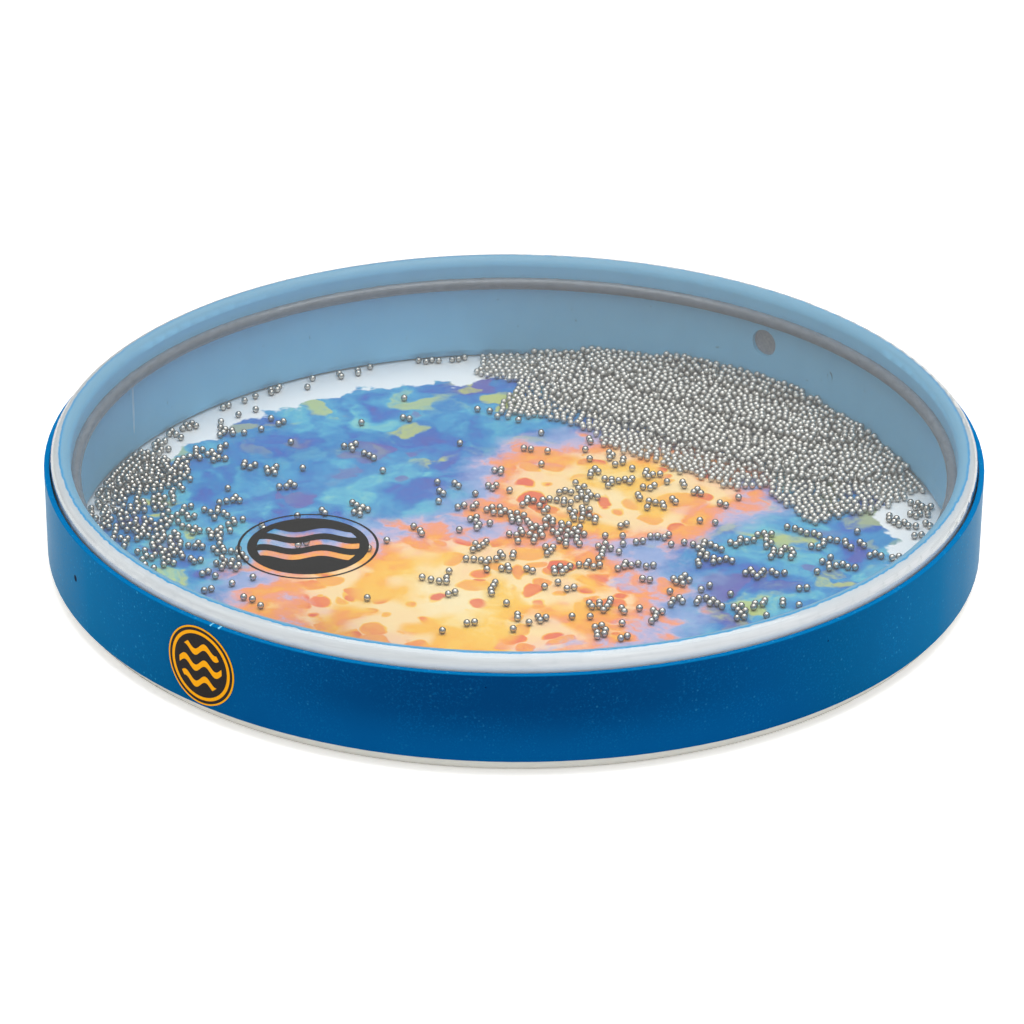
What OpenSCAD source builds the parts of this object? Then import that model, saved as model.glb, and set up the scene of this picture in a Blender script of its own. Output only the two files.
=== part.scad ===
// Ocean drum: a shallow frame drum with a clear top head and a printed bottom
// head, loaded with small steel shot that rolls and hisses when it is tilted.
// Origin: centre of the underside of the bottom head, +Z towards the clear head.

/* [Drum] */
// Outside diameter of the blue hoop
drum_d = 405.6; // [300:0.1:560]
// Overall height, over both heads
drum_h = 52; // [50:0.5:90]

/* [Shell] */
// Thickness of the shell, and of the rounded edges that the heads bear on
shell_t = 8.4; // [6:0.1:12]
// Height of the lower bearing ring
lower_ring_h = 11; // [7:0.5:16]
// Depth of the seal groove's upper edge below the crest of the shell
groove_drop = 9.8; // [7:0.1:12]
// Height of the seal groove
groove_h = 4.9; // [3:0.1:6]
// Thickness of the blue liner inside the shell
liner_t = 2; // [1:0.1:3]
// How far the grey seal stands out into the cavity, as a round bead
seal_proud = 4.4; // [2:0.1:4.8]
// Width of the butt joint where the ends of the liner meet
seam_w = 0.4; // [0.2:0.1:1]
// Direction of the liner's butt joint, in degrees
seam_angle = 154.6; // [100:0.1:260]

/* [Heads] */
// Thickness of the film that both heads are made of
film_t = 0.25; // [0.15:0.05:0.5]
// Thickness of the glue between a head and the shell
glue_t = 0.05; // [0.02:0.01:0.1]
// Length of head collar tucked between the hoop and the shell
tuck = 7; // [4:0.5:9]

/* [Hoop] */
// Height of the blue hoop
hoop_h = 39; // [36:0.5:40]
// Thickness of the blue hoop
hoop_t = 2.4; // [2:0.1:3]
// Height of the hoop's lower edge over the surface that the drum rests on
hoop_z = 6.4; // [5:0.1:8]
// Rounding of the hoop's four edges
hoop_edge_r = 0.4; // [0.2:0.1:0.8]
// Width of the tape that holds the hoop on the shell
tape_w = 20; // [8:1:20]
// Thickness of the tape
tape_t = 0.75; // [0.6:0.05:1.5]

/* [Fill hole] */
// Diameter of the hole in the liner that the shot is poured through
hole_d = 13; // [8:0.5:16]
// Height of the centre of the hole
hole_z = 26.8; // [22:0.1:27]
// Direction of the hole, in degrees
hole_angle = 52.4; // [30:0.1:140]
// Clearance round the plug
plug_gap = 0.1; // [0.05:0.05:0.3]

/* [Label] */
// Diameter of the round label on the hoop
label_d = 35; // [20:0.5:36]
// Thickness of the label
label_t = 0.2; // [0.1:0.05:0.4]
// Height of the centre of the label
label_z = 25; // [24.5:0.1:27]
// Direction of the label, in degrees
label_angle = -128.2; // [-170:0.1:-100]

/* [Shot] */
// Diameter of one steel shot
shot_d = 3; // [2.5:0.1:3.2]
// Least gap between neighbouring shot
shot_gap = 0.15; // [0.1:0.05:0.3]
// Gap between the shot and the head or wall beside it
shot_play = 0.15; // [0.1:0.05:0.3]
// Spacing of the curved rows in the pile
row_pitch = 3.7; // [3.6:0.1:6]
// Spacing of the shot along a row in the pile
shot_pitch = 4.2; // [4:0.1:7]
// Spacing of the shot in the tight patch on the left, along and across its rows
patch_pitch = 3.25; // [3.25:0.05:4]

/* [Hidden] */

blue = [0.05, 0.36, 0.62];
light_blue = [0.45, 0.68, 0.80];
fibre_grey = [0.45, 0.46, 0.47];
steel = [0.66, 0.65, 0.62];

ring_fn = 180;
round_fn = 48;
shot_fn = 16;
cut = 1;

hoop_r = drum_d / 2;
hoop_bore_r = hoop_r - hoop_t;
shell_r = hoop_bore_r - tape_t;
bore_r = shell_r - shell_t;
crest_round = shell_t / 2;
mid_r = bore_r + crest_round;
film_in = glue_t;
film_out = glue_t + film_t;
crest_low = film_out;
crest_high = drum_h - film_out;
groove_top = crest_high - groove_drop;
groove_low = groove_top - groove_h;
liner_low = crest_low + lower_ring_h;
hoop_top = hoop_z + hoop_h;
core_r = bore_r + liner_t;

// Farthest that a shot's centre may lie from the axis, and its lowest height
shot_reach = bore_r - shot_play - shot_d / 2;
bed_z = film_t + shot_play + shot_d / 2;
// Least distance between the centres of two shot
apart = shot_d + shot_gap;

// A bar that is rounded at its four corners, drawn from its lower left corner
module rounded_bar(w, h, r) {
    translate([r, 0]) square([w - 2 * r, h]);
    translate([0, r]) square([w, h - 2 * r]);
    for (x = [r, w - r], y = [r, h - r]) translate([x, y]) circle(r, $fn = round_fn);
}

// A ring of rectangular section between two radii and two heights
module ring(inner, outer, low, high) {
    rotate_extrude($fn = ring_fn) translate([inner, low]) square([outer - inner, high - low]);
}

// A ring of the shell whose top is a half round from the bore to the outside
module bearing_ring(h) {
    rotate_extrude($fn = ring_fn) {
        translate([bore_r, 0]) square([shell_t, h - crest_round]);
        translate([mid_r, h - crest_round]) circle(crest_round, $fn = round_fn);
    }
}

// A head as it lies on top: the flat film, the bend over the crest, and the collar
// that runs down to a given depth below the film's outer face
module head(collar) {
    bend = crest_round + film_out;
    rotate_extrude($fn = ring_fn) {
        translate([0, -film_t]) square([mid_r, film_t]);
        translate([mid_r, -bend]) intersection() {
            difference() {
                circle(bend, $fn = round_fn);
                circle(bend - film_t, $fn = round_fn);
            }
            square(bend + cut);
        }
        translate([shell_r + film_in, -collar]) square([film_t, collar - bend]);
    }
}

module outer_hoop() {
    color(blue) rotate_extrude($fn = ring_fn)
        translate([hoop_bore_r, hoop_z]) rounded_bar(hoop_t, hoop_h, hoop_edge_r);
}

module hoop_tape() {
    mid = hoop_z + hoop_h / 2;
    color("white") ring(shell_r, hoop_bore_r, mid - tape_w / 2, mid + tape_w / 2);
}

module hoop_label() {
    color("black") intersection() {
        ring(hoop_r, hoop_r + label_t, label_z - label_d, label_z + label_d);
        rotate(label_angle) translate([0, 0, label_z]) rotate([0, 90, 0])
            cylinder(d = label_d, h = hoop_r + label_t + cut, $fn = round_fn);
    }
}

module shell_core() {
    color(fibre_grey) difference() {
        ring(core_r, shell_r, liner_low, groove_top);
        fill_bore(hole_d / 2);
    }
}

module upper_bearing_ring() {
    color(light_blue) translate([0, 0, groove_top]) bearing_ring(crest_high - groove_top);
}

module lower_bearing_ring() {
    color(light_blue) translate([0, 0, liner_low]) mirror([0, 0, 1]) bearing_ring(lower_ring_h);
}

// The round passage through the shell, seen from the axis
module fill_bore(r) {
    rotate(hole_angle) translate([bore_r - cut, 0, hole_z]) rotate([0, 90, 0])
        cylinder(r = r, h = shell_t + 2 * cut, $fn = round_fn);
}

module inner_liner() {
    color(light_blue) difference() {
        ring(bore_r, core_r, liner_low, groove_low);
        fill_bore(hole_d / 2);
        rotate(seam_angle) translate([bore_r - cut, -seam_w / 2, liner_low - cut])
            cube([liner_t + 2 * cut, seam_w, groove_low - liner_low + 2 * cut]);
    }
}

// The grey bead: it fills the groove and stands out into the cavity with a round face
module seal_ring() {
    half = groove_h / 2;
    face_r = (half * half + seal_proud * seal_proud) / (2 * seal_proud);
    color([0.36, 0.38, 0.40]) rotate_extrude($fn = ring_fn) {
        translate([bore_r, groove_low]) square([liner_t, groove_h]);
        translate([bore_r - seal_proud, groove_low + half]) intersection() {
            translate([face_r, 0]) circle(face_r, $fn = round_fn);
            translate([0, -face_r]) square([seal_proud, 2 * face_r]);
        }
    }
}

module fill_hole_plug() {
    color(fibre_grey) intersection() {
        ring(core_r, shell_r, liner_low, groove_top);
        fill_bore(hole_d / 2 - plug_gap);
    }
}

module top_head() {
    color([0.85, 0.93, 0.97, 0.35]) translate([0, 0, drum_h]) head(drum_h - hoop_top + tuck);
}

module bottom_head() {
    color([0.93, 0.94, 0.95]) mirror([0, 0, 1]) head(hoop_z + tuck);
}

// The pile lies in curved rows that follow the wall. Each layer has an outline in
// shares of the bore's radius, and the wall cuts it off on the outside.
bed_shares = [
    [-0.09, 1.1], [-0.085, 0.87], [0, 0.85], [0.01, 0.79], [-0.045, 0.71], [-0.04, 0.63], [0.03, 0.66],
    [0.10, 0.63], [0.17, 0.58], [0.21, 0.51], [0.27, 0.44], [0.37, 0.37], [0.44, 0.32], [0.50, 0.26],
    [0.60, 0.26], [0.64, 0.17], [0.70, 0.09], [0.78, 0.12], [0.86, 0.17], [0.93, 0.24], [1.1, 0.30], [1.1, 1.1]
];
middle_shares = [
    [0.03, 1.1], [0.06, 0.86], [0.10, 0.74], [0.22, 0.63], [0.36, 0.50], [0.50, 0.40], [0.62, 0.32],
    [0.74, 0.27], [0.86, 0.30], [1.1, 0.42], [1.1, 1.1]
];
upper_shares = [
    [0.16, 1.1], [0.20, 0.86], [0.34, 0.72], [0.50, 0.60], [0.66, 0.49], [0.80, 0.46], [1.1, 0.58], [1.1, 1.1]
];
top_shares = [[0.34, 1.1], [0.38, 0.88], [0.52, 0.77], [0.64, 0.68], [0.74, 0.66], [1.1, 0.84], [1.1, 1.1]];
// Seeds of the random starts of the rows, one for each layer
row_seeds = [11, 23, 37, 41];
// Directions, in degrees, that divide a layer of the pile into nodes
bed_splits = [0, 32, 46, 60, 75, 110];
middle_splits = [0, 38, 58, 110];

// Whether a point lies inside an outline, by counting the sides to its right
function inside(p, outline) = let (n = len(outline)) sum([
    for (i = [0:n - 1]) let (a = outline[i], b = outline[(i + 1) % n])
        if ((a.y > p.y) != (b.y > p.y) && p.x < a.x + (b.x - a.x) * (p.y - a.y) / (b.y - a.y)) 1
]) % 2 == 1;
function sum(list) = len(list) == 0 ? 0 : list * [for (i = list) 1];
function direction(p) = atan2(p.y, p.x);
function level(p) = [p.x, p.y];

// Places in plan, in rows that follow the wall inwards from it, kept where they lie inside an
// outline. The rows have a depth in shares of the bore's radius and span two directions.
function rows_plan(outline, seed, across, along, depth_share, from, to) = let (
    rows = floor(depth_share * bore_r / across),
    starts = rands(0, 1, rows + 1, seed)
) [
    for (k = [0:rows - 1]) let (r = shot_reach - k * across, step = 2 * asin(along / (2 * r)))
        for (i = [0:floor((to - from) / step)])
            let (a = from + (i + starts[k]) * step, p = r * [cos(a), sin(a)])
                if (inside(p / bore_r, outline)) p
];
// Depth of the pile from the wall, and the directions between which it lies
pile_depth_share = 0.6;
pile_from = -2;
pile_to = 118;
function layer_plan(outline, seed) =
    rows_plan(outline, seed, row_pitch, shot_pitch, pile_depth_share, pile_from, pile_to);
// The height at which a shot comes to rest on those that lie below it
function rest_z(p, below) = max([
    bed_z,
    for (q = below) let (d = norm(p - level(q))) if (d < apart) q.z + sqrt(apart * apart - d * d)
]);
function settle(plan, below) = [for (p = plan) [p.x, p.y, rest_z(p, below)]];

function bed_shot() = settle(layer_plan(bed_shares, row_seeds[0]), []);
function middle_shot(bed) = settle(layer_plan(middle_shares, row_seeds[1]), bed);
function upper_shot(below) = settle(layer_plan(upper_shares, row_seeds[2]), below);
function top_shot(below) = settle(layer_plan(top_shares, row_seeds[3]), below);
function pile_to_middle() = let (bed = bed_shot()) concat(bed, middle_shot(bed));
function pile_to_upper() = let (below = pile_to_middle()) concat(below, upper_shot(below));

module shot(places) {
    color(steel) for (p = places) translate(p) sphere(d = shot_d, $fn = shot_fn);
}

// The shot of a layer whose directions lie between two splits
module shot_between(places, splits, k) {
    shot([for (p = places) let (a = direction(p)) if (a >= splits[k - 1] && a < splits[k]) p]);
}

module shot_pile_bed(k) { shot_between(bed_shot(), bed_splits, k); }

module shot_pile_middle(k) { shot_between(middle_shot(bed_shot()), middle_splits, k); }

module shot_pile_upper() { shot(upper_shot(pile_to_middle())); }

module shot_pile_top() { shot(top_shot(pile_to_upper())); }

// The tight patch on the left: its outline, seed, depth from the wall and directions
patch_shares = [
    [-1.1, 0.43], [-0.90, 0.42], [-0.85, 0.40], [-0.77, 0.38], [-0.76, 0.29], [-0.80, 0.26],
    [-0.84, 0.215], [-0.92, 0.205], [-1.1, 0.22]
];
patch_seed = 5;
patch_depth_share = 0.25;
patch_from = 150;
patch_to = 172;
function patch_plan() =
    rows_plan(patch_shares, patch_seed, patch_pitch, patch_pitch, patch_depth_share, patch_from, patch_to);

// Clumps of shot away from the pile: the place of each clump in shares of the
// bore's radius, and how many shot it holds.
left_clumps = [
    [-0.965, 0.18, 5], [-0.94, 0.13, 8], [-0.96, 0.09, 5], [-0.90, 0.18, 5], [-0.87, 0.17, 7], [-0.91, 0.09, 12],
    [-0.83, 0.15, 8], [-0.80, 0.20, 4], [-0.85, 0.06, 13], [-0.80, 0.06, 14], [-0.77, 0.10, 8], [-0.94, 0.05, 6],
    [-0.80, 0.00, 14], [-0.88, -0.02, 8], [-0.76, -0.02, 8], [-0.78, -0.11, 14], [-0.72, 0.02, 7], [-0.70, 0.12, 7],
    [-0.66, 0.17, 5], [-0.66, 0.10, 4], [-0.67, 0.01, 6], [-0.67, -0.07, 7], [-0.67, -0.14, 11], [-0.73, -0.11, 5],
    [-0.82, -0.06, 5], [-0.775, 0.24, 2], [-0.815, -0.16, 1]
];
loose_clumps = [
    [-0.24, 0.96, 1], [-0.19, 0.96, 3], [-0.14, 0.97, 3], [-0.36, 0.92, 1], [-0.39, 0.90, 2], [-0.435, 0.88, 2],
    [-0.50, 0.85, 1], [-0.51, 0.80, 1], [-0.58, 0.80, 4], [-0.635, 0.745, 1], [-0.66, 0.72, 1], [-0.71, 0.68, 2],
    [-0.63, 0.67, 1], [-0.67, 0.64, 1], [-0.71, 0.60, 1], [-0.80, 0.56, 5], [-0.83, 0.53, 3], [-0.80, 0.51, 1],
    [-0.86, 0.47, 4], [-0.70, 0.54, 6], [-0.65, 0.54, 1], [-0.61, 0.56, 1], [-0.57, 0.59, 2], [-0.59, 0.62, 1],
    [-0.76, 0.45, 7], [-0.73, 0.42, 6], [-0.69, 0.47, 3], [-0.89, 0.43, 3], [-0.85, 0.42, 4], [-0.37, 0.60, 1],
    [-0.27, 0.63, 2], [-0.27, 0.74, 1], [-0.535, 0.49, 1], [-0.13, 0.49, 1], [-0.39, 0.47, 4], [-0.345, 0.42, 3],
    [-0.31, 0.34, 1], [-0.64, 0.36, 4], [-0.57, 0.34, 5], [-0.50, 0.35, 1], [-0.55, 0.25, 2], [-0.52, 0.25, 2],
    [-0.67, 0.24, 1], [-0.445, 0.13, 2], [-0.37, 0.12, 7], [-0.50, 0.10, 1], [-0.58, 0.05, 2], [-0.49, -0.03, 3],
    [-0.33, -0.06, 1], [-0.70, -0.19, 2], [-0.67, -0.20, 1], [-0.63, -0.235, 1], [-0.585, -0.205, 1],
    [-0.69, -0.27, 2], [-0.60, -0.30, 1], [-0.58, -0.31, 1], [-0.56, -0.34, 1],
    [-0.09, 0.68, 1], [-0.06, 0.67, 1], [0.01, 0.62, 1], [0.065, 0.55, 1], [0.04, 0.46, 2], [0.08, 0.45, 1],
    [0.065, 0.38, 1], [0.18, 0.52, 2], [0.17, 0.46, 1], [0.18, 0.41, 1], [0.235, 0.43, 3], [0.24, 0.38, 1],
    [0.26, 0.41, 2], [-0.03, 0.35, 3], [-0.05, 0.25, 3], [-0.01, 0.24, 1], [-0.09, 0.22, 1], [-0.18, 0.28, 1],
    [-0.13, 0.26, 2], [-0.165, 0.22, 2], [-0.175, 0.18, 1], [0.18, 0.32, 4], [0.23, 0.30, 8], [0.28, 0.36, 1],
    [0.31, 0.33, 3], [0.345, 0.33, 2], [0.33, 0.27, 3], [0.36, 0.29, 1], [0.40, 0.27, 2], [0.43, 0.25, 3],
    [0.29, 0.22, 2], [0.33, 0.18, 4], [0.37, 0.20, 2], [0.31, 0.155, 1], [0.145, 0.28, 1], [0.165, 0.26, 2],
    [0.12, 0.24, 3], [0.10, 0.19, 6], [0.17, 0.20, 8], [0.03, 0.18, 4], [0.06, 0.16, 1], [-0.05, 0.15, 3],
    [-0.03, 0.12, 5], [0.00, 0.12, 4], [0.01, 0.08, 2], [0.03, 0.09, 1], [0.07, 0.13, 2], [0.08, 0.10, 4],
    [0.13, 0.14, 5], [0.15, 0.10, 7], [0.11, 0.07, 3], [0.05, 0.06, 2], [0.02, 0.02, 7], [0.06, 0.02, 3],
    [0.09, 0.03, 4], [0.14, 0.04, 6], [0.145, 0.00, 3], [0.05, -0.01, 1], [0.12, -0.02, 3], [0.09, -0.05, 4],
    [0.01, -0.02, 1], [-0.055, 0.07, 1], [-0.085, 0.045, 2], [-0.125, 0.035, 1], [-0.13, 0.15, 2],
    [-0.095, 0.15, 2], [-0.10, 0.09, 3], [-0.23, 0.05, 1], [-0.215, 0.03, 2], [-0.29, -0.02, 1],
    [-0.07, -0.04, 5], [-0.03, -0.08, 2], [0.00, -0.08, 2], [-0.09, -0.11, 5], [-0.055, -0.11, 1],
    [-0.06, -0.16, 1], [-0.01, -0.16, 3], [0.03, -0.155, 2], [0.11, -0.17, 6], [0.10, -0.22, 1],
    [0.12, -0.25, 2], [0.07, -0.24, 1], [-0.045, -0.24, 4], [-0.015, -0.32, 1], [-0.145, -0.17, 1],
    [-0.15, -0.22, 3], [-0.185, -0.21, 1], [-0.205, -0.20, 1], [-0.13, -0.27, 2], [-0.325, -0.30, 1],
    [-0.085, -0.41, 2], [-0.155, -0.45, 1], [0.17, -0.12, 5], [0.20, -0.09, 3], [0.21, -0.06, 3],
    [0.24, -0.07, 1], [0.21, -0.03, 1], [0.25, -0.03, 1], [0.28, -0.02, 2], [0.21, 0.01, 1], [0.25, 0.01, 1],
    [0.26, 0.07, 2], [0.33, 0.01, 4], [0.36, -0.03, 1], [0.39, -0.02, 1], [0.41, -0.03, 1], [0.25, -0.14, 5],
    [0.29, -0.20, 2], [0.30, -0.14, 2], [0.45, -0.03, 7], [0.44, -0.08, 8], [0.42, -0.13, 2], [0.43, 0.09, 1],
    [0.465, 0.08, 1], [0.48, 0.18, 2], [0.525, 0.21, 1], [0.52, 0.00, 6], [0.56, 0.02, 3], [0.59, 0.03, 3],
    [0.585, -0.03, 1], [0.61, -0.06, 7], [0.63, -0.09, 2], [0.63, 0.06, 1], [0.66, 0.04, 3], [0.69, 0.03, 2],
    [0.71, -0.01, 6], [0.77, -0.04, 3], [0.80, -0.03, 2], [0.81, -0.08, 3], [0.86, -0.09, 2], [0.79, 0.04, 1],
    [0.72, -0.09, 1], [0.70, -0.11, 1], [0.73, -0.13, 5], [0.77, -0.14, 1], [0.685, -0.16, 1], [0.54, -0.17, 6],
    [0.58, -0.16, 2], [0.60, -0.17, 1], [0.36, -0.20, 5], [0.395, -0.205, 1], [0.35, -0.26, 1], [0.37, -0.29, 3],
    [0.35, -0.32, 1], [0.44, -0.23, 1], [0.42, -0.25, 1], [0.43, -0.29, 7], [0.485, -0.27, 1], [0.49, -0.33, 6],
    [0.50, -0.38, 1], [0.56, -0.30, 4], [0.60, -0.30, 2], [0.64, -0.24, 2], [0.635, -0.32, 1], [0.56, -0.37, 1],
    [0.20, -0.35, 8], [0.24, -0.34, 2], [0.28, -0.34, 1], [0.31, -0.35, 4], [0.305, -0.40, 1], [0.13, -0.38, 1],
    [0.17, -0.38, 1], [0.24, -0.41, 1], [0.01, -0.39, 2], [0.035, -0.41, 1], [0.06, -0.40, 3], [0.00, -0.44, 1],
    [0.18, -0.43, 2], [0.20, -0.46, 4], [0.25, -0.47, 2], [0.95, 0.17, 6], [0.96, 0.13, 4], [0.87, 0.12, 3],
    [0.88, 0.09, 3], [0.91, 0.07, 2], [0.96, 0.07, 2], [0.92, 0.02, 2]
];
clump_seed = 7;
// Tries allowed for each shot of a clump, and the most that its spacing is stretched by.
// The first shot of a clump is looked for ever farther out when its place is taken.
clump_tries = 40;
clump_spread_share = 0.08;
first_reach_share = 4;
// Random numbers, of which each clump starts at a place of its own
dice_count = 40000;
dice_stride = 97;
dice = rands(0, 1, dice_count, clump_seed);
function die(i) = dice[i % dice_count];

// Whether a shot at p clears the wall and every shot in a list
function is_clear(p, others) = norm(p) <= shot_reach && len([for (q = others) if (norm(p - q) < apart) 1]) == 0;

// Adds shot to a clump one at a time, each beside one that is already in it
function grow(all, first, home, need, tries, i) =
    need == 0 || tries == 0 ? all
    : let (
        count = len(all) - first,
        from = count == 0 ? home : all[first + floor(die(i) * count)],
        reach = count == 0 ? first_reach_share * (1 - tries / clump_tries) : 1 + clump_spread_share * die(i + 1),
        turn = 360 * die(i + 2),
        p = from + reach * apart * [cos(turn), sin(turn)]
    )
    is_clear(p, all) ? grow(concat(all, [p]), first, home, need - 1, clump_tries, i + 3)
    : grow(all, first, home, need, tries - 1, i + 3);

function clumps(all, table, k) =
    k == len(table) ? all
    : let (c = table[k], more = grow(all, len(all), level(c) * bore_r, c.z, clump_tries, dice_stride * k))
        clumps(more, table, k + 1);

function left_plan() = clumps(patch_plan(), left_clumps, 0);
function loose_plan() = let (
    others = concat([for (p = bed_shot()) level(p)], left_plan()),
    all = clumps(others, loose_clumps, 0)
) [for (i = [len(others):len(all) - 1]) all[i]];
function bedded(plan) = [for (p = plan) [p.x, p.y, bed_z]];

// Radius, in shares of the bore's, that divides the shot on the left into two nodes
left_split_share = 0.87;
module shot_left_rim() { shot([for (p = bedded(left_plan())) if (norm(level(p)) >= left_split_share * bore_r) p]); }

module shot_left_inner() { shot([for (p = bedded(left_plan())) if (norm(level(p)) < left_split_share * bore_r) p]); }

// The loose shot in a field between two places in each direction, in shares of the bore's radius
module shot_in_field(x_low, x_high, y_low, y_high) {
    shot([
        for (p = bedded(loose_plan())) let (x = p.x / bore_r, y = p.y / bore_r)
            if (x >= x_low && x < x_high && y >= y_low && y < y_high) p
    ]);
}
field_left_share = -0.28;
field_right_share = 0.38;
field_back_share = 0.22;
field_front_share = -0.14;

module shot_loose_left() { shot_in_field(-1, field_left_share, -1, 1); }

module shot_loose_right() { shot_in_field(field_right_share, 1, -1, 1); }

module shot_loose_back() { shot_in_field(field_left_share, field_right_share, field_back_share, 1); }

module shot_loose_centre() {
    shot_in_field(field_left_share, field_right_share, field_front_share, field_back_share);
}

module shot_loose_front() { shot_in_field(field_left_share, field_right_share, -1, field_front_share); }

outer_hoop();
hoop_tape();
hoop_label();
shell_core();
upper_bearing_ring();
lower_bearing_ring();
inner_liner();
seal_ring();
fill_hole_plug();
top_head();
bottom_head();
shot_left_rim();
shot_left_inner();
shot_loose_back();
shot_loose_left();
shot_loose_centre();
shot_loose_front();
shot_loose_right();
shot_pile_bed(1);  // shot_pile_bed_1
shot_pile_bed(2);  // shot_pile_bed_2
shot_pile_bed(3);  // shot_pile_bed_3
shot_pile_bed(4);  // shot_pile_bed_4
shot_pile_bed(5);  // shot_pile_bed_5
shot_pile_middle(1);  // shot_pile_middle_1
shot_pile_middle(2);  // shot_pile_middle_2
shot_pile_middle(3);  // shot_pile_middle_3
shot_pile_upper();
shot_pile_top();
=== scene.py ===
import math

import bmesh
import bpy
import numpy as np
from mathutils import Matrix, Vector


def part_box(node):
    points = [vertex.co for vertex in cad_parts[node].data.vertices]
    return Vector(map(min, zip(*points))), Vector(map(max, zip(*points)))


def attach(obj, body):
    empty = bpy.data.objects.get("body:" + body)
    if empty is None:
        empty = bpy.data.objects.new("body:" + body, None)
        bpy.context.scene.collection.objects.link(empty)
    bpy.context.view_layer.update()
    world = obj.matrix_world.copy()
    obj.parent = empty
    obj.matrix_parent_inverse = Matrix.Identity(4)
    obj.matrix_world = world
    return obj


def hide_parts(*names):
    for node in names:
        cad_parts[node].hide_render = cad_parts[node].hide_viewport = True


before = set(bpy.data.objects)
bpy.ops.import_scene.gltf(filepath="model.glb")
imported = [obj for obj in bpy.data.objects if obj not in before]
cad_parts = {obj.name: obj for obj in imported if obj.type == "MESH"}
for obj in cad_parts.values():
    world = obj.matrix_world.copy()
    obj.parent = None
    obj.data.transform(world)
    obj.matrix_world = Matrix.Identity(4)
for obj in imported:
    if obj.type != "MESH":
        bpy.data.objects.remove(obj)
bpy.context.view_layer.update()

MM = 0.001

# Heights and radii of the drum, from its solids
DRUM_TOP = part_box("top_head")[1][2]
HOOP_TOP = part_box("outer_hoop")[1][2]
HOOP_IN_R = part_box("hoop_tape")[1][0]
LINER_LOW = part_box("inner_liner")[0][2]
GROOVE_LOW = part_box("inner_liner")[1][2]
GROOVE_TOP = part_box("upper_bearing_ring")[0][2]
LINER_T = 2 * MM
BORE_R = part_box("inner_liner")[1][0] - LINER_T
CREST_R = (BORE_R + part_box("shell_core")[1][0]) / 2
FILM_T = 0.25 * MM

# The seal bead, as its solid has it: how far it stands out, and the radius of its round
SEAL_PROUD = 4.4 * MM
SEAL_ROUND = 2.88 * MM

# The label on the hoop, as its solid has it, with its direction in degrees
LABEL_ANGLE = -128.2
LABEL_Z = 25 * MM
LABEL_D = 35 * MM

# The shot, as the solids have it: its lowest point, and the farthest that a centre lies from the axis
SHOT_D = 3 * MM
SHOT_FLOOR = 0.4 * MM
SHOT_REACH = 189.6 * MM

# Nodes of the shot. The pile's are in layers, from the bed to the top.
PILE_LAYERS = [
    ["shot_pile_bed_1", "shot_pile_bed_2", "shot_pile_bed_3", "shot_pile_bed_4", "shot_pile_bed_5"],
    ["shot_pile_middle_1", "shot_pile_middle_2", "shot_pile_middle_3"],
    ["shot_pile_upper"],
    ["shot_pile_top"],
]
LOOSE_NODES = [
    "shot_loose_back", "shot_loose_left", "shot_loose_centre", "shot_loose_front", "shot_loose_right",
]
LEFT_NODES = ["shot_left_rim", "shot_left_inner"]

# Balls that each layer of the dressed pile starts with, in shares of the solid layer's count
FILL_SHARES = [1.5, 1.45, 1.4, 1.35]
# Least distance between the centres of dressed shot in one layer: a trace of overlap doesn't show
LEAST_GAP = 0.97 * SHOT_D
# How far a ball rolls in one try to find a lower place, and the number of tries
ROLL_STEP = 0.12 * SHOT_D
ROLL_TRIES = 30

# Small marks: direction in degrees, height, and half of the width and of the height
SEAM_ANGLE = 154.6
SEAM_SMEAR = (SEAM_ANGLE, 26 * MM, 0.9 * MM, 15 * MM)
LINER_SCRATCH = (40.3, 22.4 * MM, 1.7 * MM, 2.6 * MM)
HOOP_NICK = (-154, 26.9 * MM, 1.5 * MM, 1.5 * MM)
HOOP_CHIPS = [
    (-126.5, 45.2 * MM, 0.45 * MM, 0.25 * MM),
    (-125.3, 45.3 * MM, 0.45 * MM, 0.25 * MM),
]
HOOP_SPECKS = [
    (-51.6, 37.9 * MM, 0.4 * MM, 0.4 * MM),
    (-93, 40 * MM, 0.4 * MM, 0.4 * MM),
]

# The mark in the clear film: its centre, the radius of its disc, and its ring between two radii
MARK_AT = np.array([-84.2, -106.5]) * MM
MARK_R = 25 * MM
MARK_RING_IN = 27.9 * MM
MARK_RING_OUT = 29.0 * MM
# Edges of the mark's inked bands from front to back, in shares of the disc's radius. The first and
# the last lie outside the disc.
BAND_SHARES = [-1.2, -0.42, -0.24, -0.02, 0.16, 0.38, 0.56, 1.2]

# Refractive index of the clear film. What a face of it mirrors head on is left out, what it mirrors
# at low angles is raised, and a faint haze is added, which gives the veil that the photograph shows.
FILM_INDEX = 1.52
HEAD_ON_SHARE = 0.038
LOW_ANGLE_GAIN = 1.55
HAZE_SHARE = 0.012

# The two pools of light in the print: centre and reach along x and y, in shares of the bore's radius
POOL_SHARES = [(-0.12, -0.28, 0.56, 0.42), (0.24, 0.26, 0.38, 0.34)]

# The camera of the photograph: a long lens a little over 1.8 m away, with its tilts in degrees
CAMERA_AT = Vector((-0.79, -1606.4, 829.4)) * MM
CAMERA_DOWN = 26.91
CAMERA_ROLL = 0.38
FOCAL_MM = 145.02
SENSOR_MM = 36

# The studio: a square softbox, the strength of the world before and behind the drum, and the floor,
# which lies a hair under the drum and shines a little to the camera alone
SOFTBOX_AT = (0.1, 0.1, 1.8)
SOFTBOX_SIZE = 1.8
SOFTBOX_WATTS = 30
WORLD_FRONT = 0.82
WORLD_BACK = 0.52
FLOOR_SIZE = 14
FLOOR_GAP = 0.02 * MM
FLOOR_LIFT = 0.38


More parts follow.
